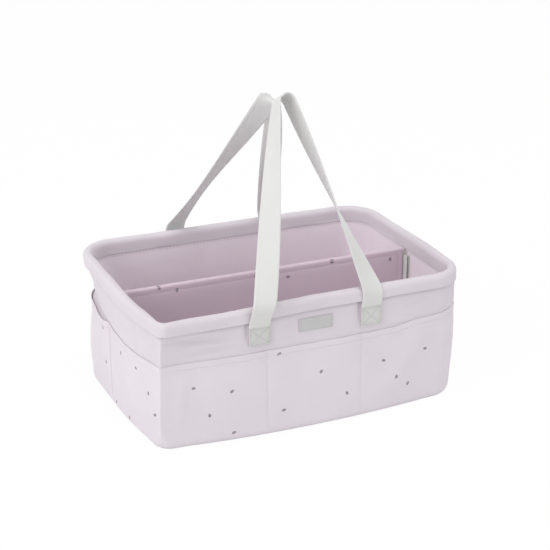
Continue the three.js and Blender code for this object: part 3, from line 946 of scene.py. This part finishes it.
def liningFace(run, z):  # inset of the face that shows inside
    spot = onBasket(run, 0, z)
    held = tapeHold(run, z)
    flare = ease(*liner["flare"], z) * (1 - held)
    inset = liner["lowerInset"] + (liner["upperInset"] - liner["lowerInset"]) * flare
    loose = (1 - held) * ease(*liner["looseRise"], z) * (1 - ease(*liner["looseFade"], z))
    inset += loose * (dents(spot, *liner["wrinkles"]) + lumps(spot, *liner["fineWrinkles"]))
    return inset + lumps(spot, *liner["pucker"]) * hill(z - liner["puckerZ"], liner["puckerReach"])


def liningSpot(run, z):
    bend = liner["bottomRadius"]
    low = floorHigh.z + bend
    if z >= low:
        return onBasket(run, liningFace(run, z), hung(run, z))
    angle = (low - z) / bend
    return onBasket(run, liningFace(run, low) + bend * (1 - math.cos(angle)), low - bend * math.sin(angle))


def addLining():
    bottom = floorHigh.z + liner["bottomRadius"] * (1 - math.pi / 2) + liner["endLift"]
    rowHeights = [(0, bottom), (0.12, 14 * mm), (1, liner["top"])]

    def place(u, v):
        return liningSpot((1 - u) * ringLength, ramp(v, rowHeights))

    def weave(u, v):
        return u * ringLength, ramp(v, rowHeights)

    bm = clothGrid(liner["columns"], liner["rows"], place, weave)
    piece = addPiece("liningWall", bm, lining, "basket")
    thicken(piece, liner["cloth"])
    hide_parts("lining_wall")


# a sheet in the basket's plan: one face on the outline, cut into a grid so that it can sag
def planSheet(inset, z, step, facing):
    bm = bmesh.new()
    bmesh.ops.create_circle(bm, cap_ends=True, segments=144, radius=1)
    for vert in bm.verts:
        turn = math.atan2(vert.co.x, -vert.co.y)
        vert.co = onBasket(turn / (2 * math.pi) * ringLength, inset, z)
    for axis, half in ((0, ring["halfLength"]), (1, ring["halfDepth"])):
        cutGrid(bm, axis, [-half + (k + 0.5) * step for k in range(round(2 * half / step))])
    bm.normal_update()
    bmesh.ops.reverse_faces(bm, faces=[face for face in bm.faces if face.normal.z * facing < 0])
    return bm


def mapFlat(bm):  # the weave runs along the length and the depth
    layer = bm.loops.layers.uv.new("weave")
    for face in bm.faces:
        for loop in face.loops:
            loop[layer].uv = (loop.vert.co.x, loop.vert.co.y)


def addLiningFloor():
    inset = liner["lowerInset"] + liner["floorGap"]
    bm = planSheet(inset, floorHigh.z, liner["floorStep"], 1)
    for vert in bm.verts:
        fromEnd = ring["halfLength"] - inset - abs(vert.co.x)
        fromSide = ring["halfDepth"] - inset - abs(vert.co.y)
        vert.co.z -= dents(vert.co, *liner["floorDents"]) * ease(0, liner["floorRim"], min(fromEnd, fromSide))
    mapFlat(bm)
    piece = addPiece("liningFloor", bm, lining, "basket")
    thicken(piece, floorHigh.z - floorLow.z - layerGap)
    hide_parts("lining_base")


addLining()
addLiningFloor()
print("lining made")

# the base: canvas under the board, rolled up at its edge to the wall
base = {"radius": 8 * mm, "inset": 2 * mm, "rollSteps": 8, "step": 12 * mm, "cloth": 1.1 * mm}


def addBase():
    flatInset = lowerInset + base["inset"] + base["radius"]
    bm = planSheet(flatInset, 0, base["step"], -1)
    outline = [edge for edge in bm.edges if edge.is_boundary]
    rolled = {}  # each outline point's start on the flat, and its way out
    for vert in {vert for edge in outline for vert in edge.verts}:
        middle = Vector((max(-flatX, min(flatX, vert.co.x)), max(-flatY, min(flatY, vert.co.y)), 0))
        rolled[vert] = (vert.co.copy(), (vert.co - middle).normalized())
    for k in range(1, base["rollSteps"] + 1):
        angle = math.pi / 2 * k / base["rollSteps"]
        grown = bmesh.ops.extrude_edge_only(bm, edges=outline)["geom"]
        nextRolled = {}
        for vert in (item for item in grown if isinstance(item, bmesh.types.BMVert)):
            neighbours = [edge.other_vert(vert) for edge in vert.link_edges]
            origin, out = next(rolled[other] for other in neighbours if other in rolled)
            vert.co = origin + out * base["radius"] * math.sin(angle)
            vert.co.z = base["radius"] * (1 - math.cos(angle))
            nextRolled[vert] = (origin, out)
        outline = [item for item in grown if isinstance(item, bmesh.types.BMEdge)]
        rolled = nextRolled
    mapFlat(bm)
    piece = addPiece("baseCloth", bm, canvas, "basket")
    thicken(piece, base["cloth"])
    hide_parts("outer_base")


addBase()
dressBoard("base_board")
print("base made")

# pieces sewn flat on the upper wall: the four ends of the handles and the label
patch = {
    "front": 1.7 * mm, "thick": 2.1 * mm, "round": 0.8 * mm, "boxLine": 2.0 * mm,
    "press": (1.0 * mm, 0.45 * mm), "grain": (0.12 * mm, 300, 1, 3.0), "cells": (34, 34),
}
patchThread = {"pitch": 2.3 * mm, "length": 1.9 * mm, "width": 0.6 * mm, "lift": 0.05 * mm}
tag = {
    "thick": 0.7 * mm, "round": 0.35 * mm, "sideLine": 2.2 * mm, "edgeLine": 1.2 * mm,
    "press": (0.9 * mm, 0.25 * mm), "puff": (0.15 * mm, 90, 1, 1.0), "cells": (64, 24),
}
tagThread = {"pitch": 1.9 * mm, "length": 1.5 * mm, "width": 0.45 * mm, "lift": 0.05 * mm}


def runOf(x, y):  # run of a point on the front or the back
    return x if y < 0 else ringLength / 2 - x


def roundedEdge(distance, radius):  # how far a rounded border falls back
    if distance >= radius:
        return 0.0
    return radius - math.sqrt(max(radius ** 2 - (radius - distance) ** 2, 0.0))


# a patch's face is a place for each (across, up), across from its middle and up from its bottom
def addPatch(name, face, half, tall, sizes, material):
    def place(u, v):
        return face((2 * u - 1) * half, v * tall)

    bm = clothGrid(*sizes["cells"], place, lambda u, v: (u * 2 * half, v * tall))
    piece = addPiece(name, bm, material, "basket")
    thicken(piece, sizes["thick"])
    return piece


def addHandleEnd(name):
    low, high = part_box(name + "_handle_end")
    middle = runOf((low.x + high.x) / 2, low.y)
    half = (high.x - low.x) / 2
    tall = high.z - low.z
    line = patch["boxLine"]

    def face(across, up):
        sides = roundedEdge(half - abs(across), patch["round"]) + roundedEdge(up, patch["round"])
        toThread = min(abs(half - line - abs(across)), abs(up - line), abs(tall - line - up))
        if abs(across) < half - line and line < up < tall - line:  # inside the box, its cross counts too
            slope = (tall - 2 * line) / (2 * (half - line))
            toCross = abs(abs(up - tall / 2) - abs(across) * slope) / math.hypot(1, slope)
            toThread = min(toThread, toCross)
        inset = patch["front"] + sides + hill(toThread, *patch["press"])
        inset -= lumps(Vector((across, up, 0)), *patch["grain"])
        return onBasket(middle + across, inset, hung(middle + across, low.z + up))

    side, hand = name.split("_")
    piece = addPatch(side + hand.capitalize() + "HandleEnd", face, half, tall, patch, patchWebbing)
    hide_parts(name + "_handle_end")
    boxAndCross = [(0, 1), (1, 2), (2, 3), (3, 0), (0, 2), (1, 3)]
    lines = seamLines(face, -half + line, half - line, line, tall - line, boxAndCross)
    addSeams(piece.name + "Stitches", lines, patchThread, greyThread, "basket")


def addLabel():
    low, high = labelBox
    half = (high.x - low.x) / 2
    tall = high.z - low.z
    front = rimHigh.y + low.y
    across, line = half - tag["sideLine"], tag["edgeLine"]

    def face(along, up):
        edge = min(half - abs(along), up, tall - up)
        inset = front + roundedEdge(edge, tag["round"]) + hill(across - abs(along), *tag["press"])
        inset -= lumps(Vector((along, up, 0)), *tag["puff"])
        return onBasket(along, inset, hung(along, low.z + up))

    piece = addPatch("frontLabel", face, half, tall, tag, labelCloth)
    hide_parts("front_label")
    lines = seamLines(face, -across, across, line, tall - line, [(0, 3), (1, 2), (0, 1)])
    addSeams("labelStitches", lines, tagThread, greyThread, "basket")


for name in handleEnds:
    addHandleEnd(name)
addLabel()
print("sewn pieces made")

# the handles: one length of webbing each, up past the rim, twisted, folded over at the top and down again
strap = {
    "width": 25 * mm, "thick": 1.5 * mm, "bead": 0.3 * mm, "beadWidth": 3.2 * mm, "faceShare": 0.42,
    "rimClearance": 0.6 * mm, "meetingGap": 0.8 * mm, "footGap": 0.1 * mm,
    "flatFrom": 12 * mm, "standTo": 8 * mm, "bendEnd": 9 * mm, "columns": 60, "rows": 220, "samples": 60,
}
# each leg stands off the rim by its bulge and turns from flat at its foot to the fold at the top
handleTurns = {
    "front": {
        "side": -1, "peakShift": 12 * mm, "settled": 0, "foldDrop": 12.5 * mm, "foldRadius": 8.5 * mm,
        "left": {"bulge": 11 * mm, "end": 0, "power": 1, "dip": 0, "lean": 1},
        "right": {"bulge": 0, "end": math.pi, "power": 1.9, "dip": -0.2, "lean": 0.35},
    },
    "back": {
        "side": 1, "peakShift": 11 * mm, "settled": 6.2 * mm, "foldDrop": 5 * mm, "foldRadius": 4.8 * mm,
        "left": {"bulge": 8.5 * mm, "end": 0, "power": 0.12, "dip": -0.58, "lean": 1.65},
        "right": {"bulge": 9 * mm, "end": 0, "power": 0.75, "dip": 0, "lean": 1},
    },
}


def bezier(points, share):
    while len(points) > 1:
        points = [first.lerp(second, share) for first, second in zip(points, points[1:])]
    return points[0]


def handlePeak(name):  # height of the middle line's top
    handle = handleTurns[name]
    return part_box(name + "_handle")[1].z - handle["settled"] - (handle["foldDrop"] + strap["thick"]) / 2


def handleCurves(name):  # the middle line from the left foot to the right foot, each curve with its bulge
    handle = handleTurns[name]
    side, fold = handle["side"], handle["foldRadius"]
    endLow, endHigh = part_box(name + "_right_handle_end")
    half = strap["thick"] / 2
    footOut = ring["halfDepth"] - patch["front"] - half
    rimOut = ring["halfDepth"] - rim["outer"] + strap["rimClearance"] + half
    halfFold = math.sqrt(strap["width"] ** 2 - handle["foldDrop"] ** 2) / 2

    def point(x, out, z):
        return Vector((x, side * out, z))

    peak = point(handle["peakShift"], halfFold + strap["meetingGap"] / 2, handlePeak(name))
    lean = (peak - point(handle["peakShift"], rimOut, rim["top"])).normalized()
    foldFoot = peak - lean * fold

    def leg(hand):
        x = hand * abs(endLow.x + endHigh.x) / 2
        foot = hung(runOf(x, side), endHigh.z) + strap["footGap"]
        rise = rim["widest"] - foot
        beside = point(x, rimOut, rim["widest"])
        aboveRim = point(x, rimOut, rim["top"] - rim["width"] / 4)
        top = foldFoot + Vector((hand * fold, 0, 0))
        away = aboveRim + (top - aboveRim).normalized() * rim["width"]
        up = [point(x, footOut, foot), point(x, footOut, foot + rise / 6),
              point(x, rimOut, rim["widest"] - rise / 2.5), beside]
        return [up, [beside, aboveRim, away], [away, top]]

    left = leg(-1)
    right = [points[::-1] for points in leg(1)[::-1]]
    leftTop, rightTop = left[2][1], right[0][0]
    reach = fold * 4 / 3  # so long, a curve's two arms carry it round half a turn
    leftTip = leftTop + (leftTop - left[2][0]).normalized() * reach
    rightTip = rightTop + (rightTop - right[0][1]).normalized() * reach
    over = [leftTop, leftTip, rightTip, rightTop]
    bulges = [handle["left"]["bulge"]] * 3 + [0] + [handle["right"]["bulge"]] * 3
    return list(zip([*left, over, *right], bulges))


def handleStations(name):  # evenly spaced (place, heading) along the middle line, and its length
    handle = handleTurns[name]
    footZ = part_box(name + "_left_handle_end")[1].z
    foldZ = handlePeak(name) - handle["foldRadius"]
    line = []
    for curve, bulge in handleCurves(name):
        for k in range(1 if line else 0, strap["samples"] + 1):
            spot = bezier(curve, k / strap["samples"])
            stand = ease(footZ, rim["top"] + strap["standTo"], spot.z) * (1 - ease(rim["top"], foldZ, spot.z))
            line.append(spot + Vector((0, handle["side"] * bulge * stand, 0)))
    runs = [0.0]
    for first, second in zip(line, line[1:]):
        runs.append(runs[-1] + (second - first).length)
    stations = []
    k = 0
    for row in range(strap["rows"] + 1):
        run = runs[-1] * row / strap["rows"]
        while k < len(line) - 2 and runs[k + 1] < run:
            k += 1
        place = line[k].lerp(line[k + 1], (run - runs[k]) / (runs[k + 1] - runs[k]))
        before, after = line[max(k - 1, 0)], line[min(k + 2, len(line) - 1)]
        stations.append((place, (after - before).normalized()))
    return stations, runs[-1]


def legTurn(leg, fromTop):  # 1 at the foot, 0 at the fold
    quarter = math.pi / 2
    dip = leg["dip"] * math.sin(math.pi * fromTop ** leg["lean"])
    return quarter + (leg["end"] - quarter) * fromTop ** leg["power"] + dip


def webSection(u):  # (across, through) round the strip: one face, an edge, the other face, an edge
    if u > 0.5:
        across, through = webSection(u - 0.5)
        return -across, -through
    half = strap["thick"] / 2
    straight = strap["width"] / 2 - half
    if u > strap["faceShare"]:
        angle = math.pi * (u - strap["faceShare"]) / (0.5 - strap["faceShare"])
        return -straight - half * math.sin(angle), half * math.cos(angle)
    across = straight * (1 - 2 * u / strap["faceShare"])
    share = max(1 - (straight - abs(across)) / strap["beadWidth"], 0)
    return across, half + strap["bead"] * 4 * share * (1 - share)


def addHandle(name):
    handle = handleTurns[name]
    stations, length = handleStations(name)
    tilt = math.asin(handle["foldDrop"] / strap["width"])
    foldLine = Vector((0, -math.cos(tilt), -handle["side"] * math.sin(tilt)))

    def place(u, v):
        spot, heading = stations[round(v * strap["rows"])]
        fromEnd = max(min(v, 1 - v) * length - strap["flatFrom"], 0)
        fromTop = max(1 - fromEnd / (length / 2 - strap["flatFrom"]), 0)
        turn = legTurn(handle["left" if v < 0.5 else "right"], fromTop)
        across = Vector((math.cos(turn), 0, 0)) + foldLine * math.sin(turn)
        across = (across - heading * across.dot(heading)).normalized()
        through = heading.cross(across)
        sideways, out = webSection(u)
        return spot + across * sideways + through * out

    def weave(u, v):
        return u * strap["width"] / strap["faceShare"], v * length

    bm = clothGrid(strap["columns"], strap["rows"], place, weave)
    bmesh.ops.holes_fill(bm, edges=[edge for edge in bm.edges if edge.is_boundary], sides=0)
    bmesh.ops.recalc_face_normals(bm, faces=bm.faces)
    piece = addPiece(name + "Handle", bm, webbing, None)
    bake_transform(piece)
    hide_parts(name + "_handle")


for name in handleTurns:
    addHandle(name)
print("handles made")

# the divider: a printed cover drawn over a board, topstitched round its edge
dividerLow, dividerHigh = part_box("divider_cover")
dividerPad = {
    "round": 2.4 * mm, "stitchIn": 7 * mm, "press": (1.3 * mm, 0.5 * mm), "grid": 8 * mm,
    "lineGrid": 1.2 * mm, "puff": (0.5 * mm, 15, 15, 3.3), "puffRise": 22 * mm, "sunk": 0.2 * mm,
    "printShift": 0.5,
}
dividerThread = {"pitch": 4.0 * mm, "length": 2.9 * mm, "width": 0.55 * mm, "lift": 0.08 * mm}


def dividerRelief(x, z):  # how far a face stands out from the cover's flat
    fromEdge = min(x - dividerLow.x, dividerHigh.x - x, z - dividerLow.z, dividerHigh.z - z)
    fromLine = fromEdge - dividerPad["stitchIn"]
    puff = lumps(Vector((x, 0, z)), *dividerPad["puff"]) - dividerPad["sunk"]
    return ease(0, dividerPad["puffRise"], fromLine) * puff - hill(fromLine, *dividerPad["press"])


def gridPlaces(low, high):  # even cuts, and close ones along the two stitch lines
    count = round((high - low) / dividerPad["grid"])
    places = [low + (high - low) * k / count for k in range(1, count)]
    for line in (low + dividerPad["stitchIn"], high - dividerPad["stitchIn"]):
        places += [line + k * dividerPad["lineGrid"] for k in range(-2, 3)]
    return places


def addDivider():
    bm = roundedBox(dividerLow, dividerHigh, dividerPad["round"], 4)
    cutGrid(bm, 0, gridPlaces(dividerLow.x, dividerHigh.x))
    cutGrid(bm, 2, gridPlaces(dividerLow.z, dividerHigh.z))
    layer = bm.loops.layers.uv.new("weave")
    for face in bm.faces:
        shift = dividerPad["printShift"] if face.normal.y > 0 else 0  # its own stretch of print
        for loop in face.loops:
            spot = loop.vert.co
            across = spot.x + shift + (spot.y if abs(face.normal.x) > 0.5 else 0)
            loop[layer].uv = (across, spot.z + (spot.y if abs(face.normal.z) > 0.5 else 0))
    middle, half = (dividerHigh.y + dividerLow.y) / 2, (dividerHigh.y - dividerLow.y) / 2
    for vert in bm.verts:
        vert.co.y += dividerRelief(vert.co.x, vert.co.z) * (vert.co.y - middle) / half
    piece = addPiece("dividerCover", bm, dividerPrint, "divider")
    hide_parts("divider_cover")


def dividerFace(side):
    def face(along, z):
        x = -side * along
        return Vector((x, side * (dividerHigh.y + dividerRelief(x, z)), z))

    return face


def addDividerStitches():
    line = dividerPad["stitchIn"]
    left, right = dividerLow.x + line, dividerHigh.x - line
    bottom, top = dividerLow.z + line, dividerHigh.z - line
    lines = []
    for side in (-1, 1):
        lines += seamLines(dividerFace(side), left, right, bottom, top, [(3, 2), (0, 1), (0, 3), (1, 2)])
    addSeams("dividerStitches", lines, dividerThread, thread, "divider")


addDivider()
addDividerStitches()
dressBoard("divider_board")
print("divider made")

# hook and loop tape at the two ends of the divider
tape = {
    "round": 0.35 * mm, "back": 0.8 * mm, "border": 2 * mm,
    "hookPitch": 2.3 * mm, "hookRadius": 0.42 * mm, "hookRoot": 0.6,
    "tuftPitch": 1.7 * mm, "tuftWidth": 0.95 * mm, "tuftDepth": 0.6 * mm, "tuftTurn": 2.4,
    "tuftRise": 0.75, "tuftVary": 0.2, "tuftBeat": 1.7,
}


def tapeRows(low, high, pitch):  # staggered places over the tape's face
    rows = int((high.z - low.z - 2 * tape["border"]) / pitch)
    columns = int((high.y - low.y - 2 * tape["border"]) / pitch)
    for row in range(rows):
        for column in range(columns):
            y = low.y + tape["border"] + (column + 0.25 + 0.5 * (row % 2)) * pitch
            yield y, low.z + tape["border"] + (row + 0.5) * pitch


def addTape(side, kind):
    low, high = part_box(side + "_" + kind + "_tape")
    outwards = 1 if side == "right" else -1
    facing = outwards if kind == "hook" else -outwards  # hooks face the wall, loops face the divider
    backLow, backHigh = low.copy(), high.copy()
    thin = tape["back"]
    if facing > 0:
        backHigh.x = low.x + thin
    else:
        backLow.x = high.x - thin
    bm = roundedBox(backLow, backHigh, tape["round"], 2)
    rootX, tipX = (backHigh.x, high.x) if facing > 0 else (backLow.x, low.x)
    tall = abs(tipX - rootX)
    turn = Matrix.Rotation(math.pi / 2 * facing, 4, "Y")

    def addHook(some, place):
        bmesh.ops.create_cone(some, cap_ends=True, segments=5, radius1=tape["hookRoot"] * tape["hookRadius"],
                              radius2=tape["hookRadius"], depth=tall, matrix=place)

    if kind == "hook":
        middleX = rootX + facing * tall / 2
        rows = tapeRows(low, high, tape["hookPitch"])
        places = [Matrix.Translation((middleX, y, z)) @ turn for y, z in rows]
        scatter(bm, addHook, places)
    else:
        places = []
        for k, (y, z) in enumerate(tapeRows(low, high, tape["tuftPitch"])):
            tilt = Matrix.Rotation(k * tape["tuftTurn"], 4, "X")
            rise = tall * (tape["tuftRise"] + tape["tuftVary"] * math.sin(k * tape["tuftBeat"]))
            sized = Matrix.Diagonal((rise, tape["tuftWidth"], tape["tuftDepth"], 1))
            places.append(Matrix.Translation((rootX, y, z)) @ tilt @ sized)
        scatter(bm, addGrain, places)
    body = "divider" if kind == "hook" else "basket"
    piece = addPiece(side + kind.capitalize() + "Tape", bm, tapePile, body)
    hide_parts(side + "_" + kind + "_tape")


for side in ("left", "right"):
    addTape(side, "hook")
    addTape(side, "loop")
print("tapes made")

# the rest of the sewing: rim, hems and pocket seams
rimThread = {"pitch": 4.4 * mm, "length": 3.0 * mm, "width": 0.75 * mm, "lift": 0.05 * mm}
hemThread = {"pitch": 3.6 * mm, "length": 2.6 * mm, "width": 0.5 * mm, "lift": 0.05 * mm}


def onLining(run, z):  # runs the other way, so that the face inside is outwards
    return liningSpot(-run, z)


def addRimStitches():
    count = round(ringLength / rimThread["pitch"])

    def roundAt(surface, z):
        return surface, (0, z), (ringLength, z), count

    addSeams("rimStitches", [roundAt(onWall, sewing["rimOutside"])], rimThread, thread, "basket")
    inside = [roundAt(onLining, z) for z in sewing["rimInside"]]
    addSeams("rimInsideStitches", inside, rimThread, paleThread, "basket")


def addPocketStitches(side):
    panel = panels[side]

    def onPanel(along, z):
        return onPocket(panel, along, z)

    def onHem(along, up):
        return onPocket(panel, along, hemHeight(panel, along) - pocket["hemLine"] + up)

    reach = panel["reach"] - sewing["stop"]
    lines = [(onHem, (-reach, 0), (reach, 0), round(2 * reach / hemThread["pitch"]))]
    for seam in panel["seams"] if panel["seamSewn"] else []:
        lines.append((onPanel, (seam, sewing["foot"]), (seam, hemHeight(panel, seam) - sewing["stop"])))
    addSeams(side + "PocketStitches", lines, hemThread, paleThread, "basket")


addRimStitches()
for side in panels:
    addPocketStitches(side)
print("seams sewn")

# white studio: the camera sees a white world and a floor that keeps a soft shadow
studio = {
    "skyLight": 0.66,
    "floorSize": 8,
    "floorDrop": 0.4 * mm,
    "floorTone": 0.9,
    "floorGlow": 0.96,
    "key": {"place": (-3.4, -0.8, 1.7), "size": 2.4, "power": 50},
    "fill": {"place": (2.2, -2.6, 1.4), "size": 2.2, "power": 10},
    "card": {"place": (-1.2, -2.6, 0.4), "size": 1.8, "power": 2.4},
    "top": {"place": (0.1, -0.3, 2.6), "size": 1.6, "power": 17},
}


def anyRay(tree, *kinds):  # 1 for a ray of any of these kinds
    rays = addNode(tree, "ShaderNodeLightPath").outputs
    found = rays[kinds[0]]
    for kind in kinds[1:]:
        found = combine(tree, "MAXIMUM", found, rays[kind])
    return found


def addWorld():
    world = bpy.data.worlds.new("studio")
    scene.world = world
    world.use_nodes = True
    tree = world.node_tree
    tree.nodes.clear()
    light = addNode(tree, "ShaderNodeBackground", {"Color": (1, 1, 1, 1), "Strength": studio["skyLight"]})
    seen = addNode(tree, "ShaderNodeBackground", {"Color": (1, 1, 1, 1), "Strength": 1.0})
    white = anyRay(tree, "Is Camera Ray", "Is Transmission Ray", "Is Glossy Ray")
    mix = addNode(tree, "ShaderNodeMixShader", {0: white, 1: light.outputs[0], 2: seen.outputs[0]})
    end = addNode(tree, "ShaderNodeOutputWorld")
    tree.links.new(mix.outputs[0], end.inputs["Surface"])


def addFloor():
    bm = bmesh.new()
    bmesh.ops.create_grid(bm, x_segments=1, y_segments=1, size=studio["floorSize"] / 2)
    bmesh.ops.translate(bm, verts=bm.verts, vec=(0, 0, -studio["floorDrop"]))
    material = bpy.data.materials.new("paleFloor")
    material.use_nodes = True
    tree = material.node_tree
    tree.nodes.clear()
    tone = studio["floorTone"]
    matte = addNode(tree, "ShaderNodeBsdfDiffuse", {"Color": (tone, tone, tone, 1)})
    glow = addNode(tree, "ShaderNodeEmission", {"Color": (1, 1, 1, 1), "Strength": 1.0})
    white = anyRay(tree, "Is Camera Ray", "Is Glossy Ray")
    share = combine(tree, "MULTIPLY", white, studio["floorGlow"])
    mix = addNode(tree, "ShaderNodeMixShader", {0: share, 1: matte.outputs[0], 2: glow.outputs[0]})
    end = addNode(tree, "ShaderNodeOutputMaterial")
    tree.links.new(mix.outputs[0], end.inputs["Surface"])
    floor = addPiece("floor", bm, material)


def addLamp(name):
    lamp = studio[name]
    data = bpy.data.lights.new(name, "AREA")
    data.shape = "DISK"
    data.size = lamp["size"]
    data.energy = lamp["power"]
    light = bpy.data.objects.new(name, data)
    light.location = lamp["place"]
    light.rotation_euler = (Vector(viewpoint["aim"]) - light.location).to_track_quat("-Z", "Y").to_euler()
    scene.collection.objects.link(light)


addWorld()
addFloor()
for name in ("key", "fill", "card", "top"):
    addLamp(name)
print("studio made")
